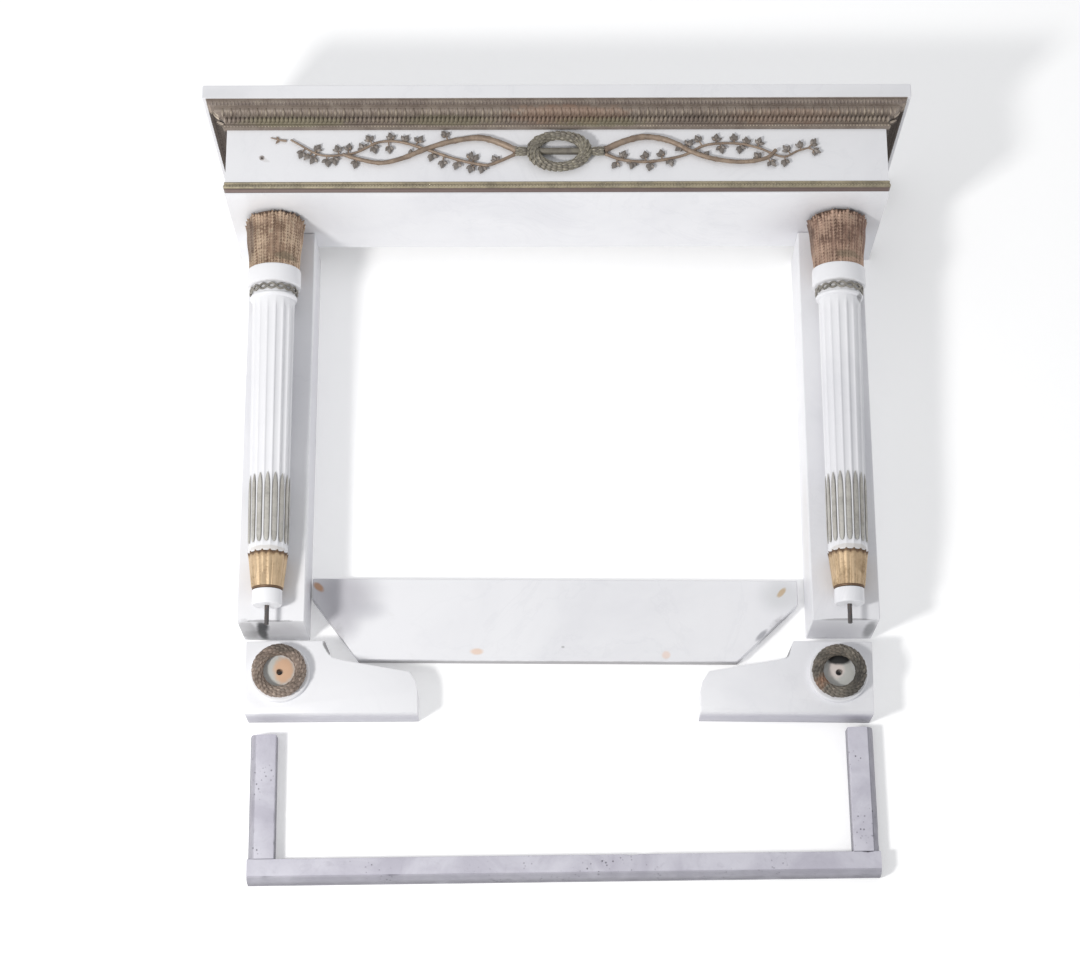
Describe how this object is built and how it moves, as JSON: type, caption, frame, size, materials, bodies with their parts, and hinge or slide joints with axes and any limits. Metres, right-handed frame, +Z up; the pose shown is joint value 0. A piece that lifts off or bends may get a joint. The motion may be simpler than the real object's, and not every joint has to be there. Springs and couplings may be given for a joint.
{
  "type": "fireplace mantelpiece",
  "caption": "White marble chimneypiece with bronze mounts and fluted quiver columns, taken apart: mantel on its back, with plinths, hearth slab and moulded hearth frame laid below it.",
  "frame": {"origin": "centre of the bounding box's underside, on the floor that every piece lies on", "axes": "+Y runs up the mantel from the hearth frame to the shelf, +X is to the right seen from above with the shelf at the top, +Z is up from the floor and is the mantel's front"},
  "size_m": [1.398, 1.5214, 0.366],
  "materials": {
    "white_marble": "polished, slightly worn",
    "grey_marble": "worn, pitted",
    "brown_bronze": "worn gilding over brown bronze",
    "dark_bronze": "dark patina",
    "feather_bronze": "worn gilding",
    "gilt_bronze": "matt gilding",
    "husk_bronze": "grey patina",
    "iron": "rusted"
  },
  "bodies": {
    "root": {"shelf": "white_marble", "cornice_moulding": "brown_bronze", "frieze_block": "white_marble", "frieze_bead_moulding": "brown_bronze", "frieze_wreath": "dark_bronze", "frieze_branch_left": "dark_bronze", "frieze_branch_left_tip": "dark_bronze", "frieze_branch_right": "dark_bronze", "jamb_left": "white_marble", "jamb_right": "white_marble", "column_shaft_left": "white_marble", "column_shaft_right": "white_marble", "feather_crown_left": "feather_bronze", "feather_crown_right": "feather_bronze", "guilloche_band_left": "dark_bronze", "guilloche_band_right": "dark_bronze", "husk_left_1": "husk_bronze", "husk_left_2": "husk_bronze", "husk_left_3": "husk_bronze", "husk_left_4": "husk_bronze", "husk_left_5": "husk_bronze", "husk_left_6": "husk_bronze", "husk_left_7": "husk_bronze", "husk_left_8": "husk_bronze", "husk_left_9": "husk_bronze", "husk_left_10": "husk_bronze", "husk_left_11": "husk_bronze", "husk_right_1": "husk_bronze", "husk_right_2": "husk_bronze", "husk_right_3": "husk_bronze", "husk_right_4": "husk_bronze", "husk_right_5": "husk_bronze", "husk_right_6": "husk_bronze", "husk_right_7": "husk_bronze", "husk_right_8": "husk_bronze", "husk_right_9": "husk_bronze", "husk_right_10": "husk_bronze", "husk_right_11": "husk_bronze", "ferrule_left": "gilt_bronze", "ferrule_right": "gilt_bronze", "iron_pin_left": "iron", "iron_pin_right": "iron", "plinth_left": "white_marble", "plinth_right": "white_marble", "laurel_ring_left": "dark_bronze", "laurel_ring_right": "dark_bronze", "hearth_slab": "white_marble", "hearth_bar_left": "grey_marble", "hearth_bar_right": "grey_marble", "hearth_bar_front": "grey_marble"}
  },
  "joints": []
}
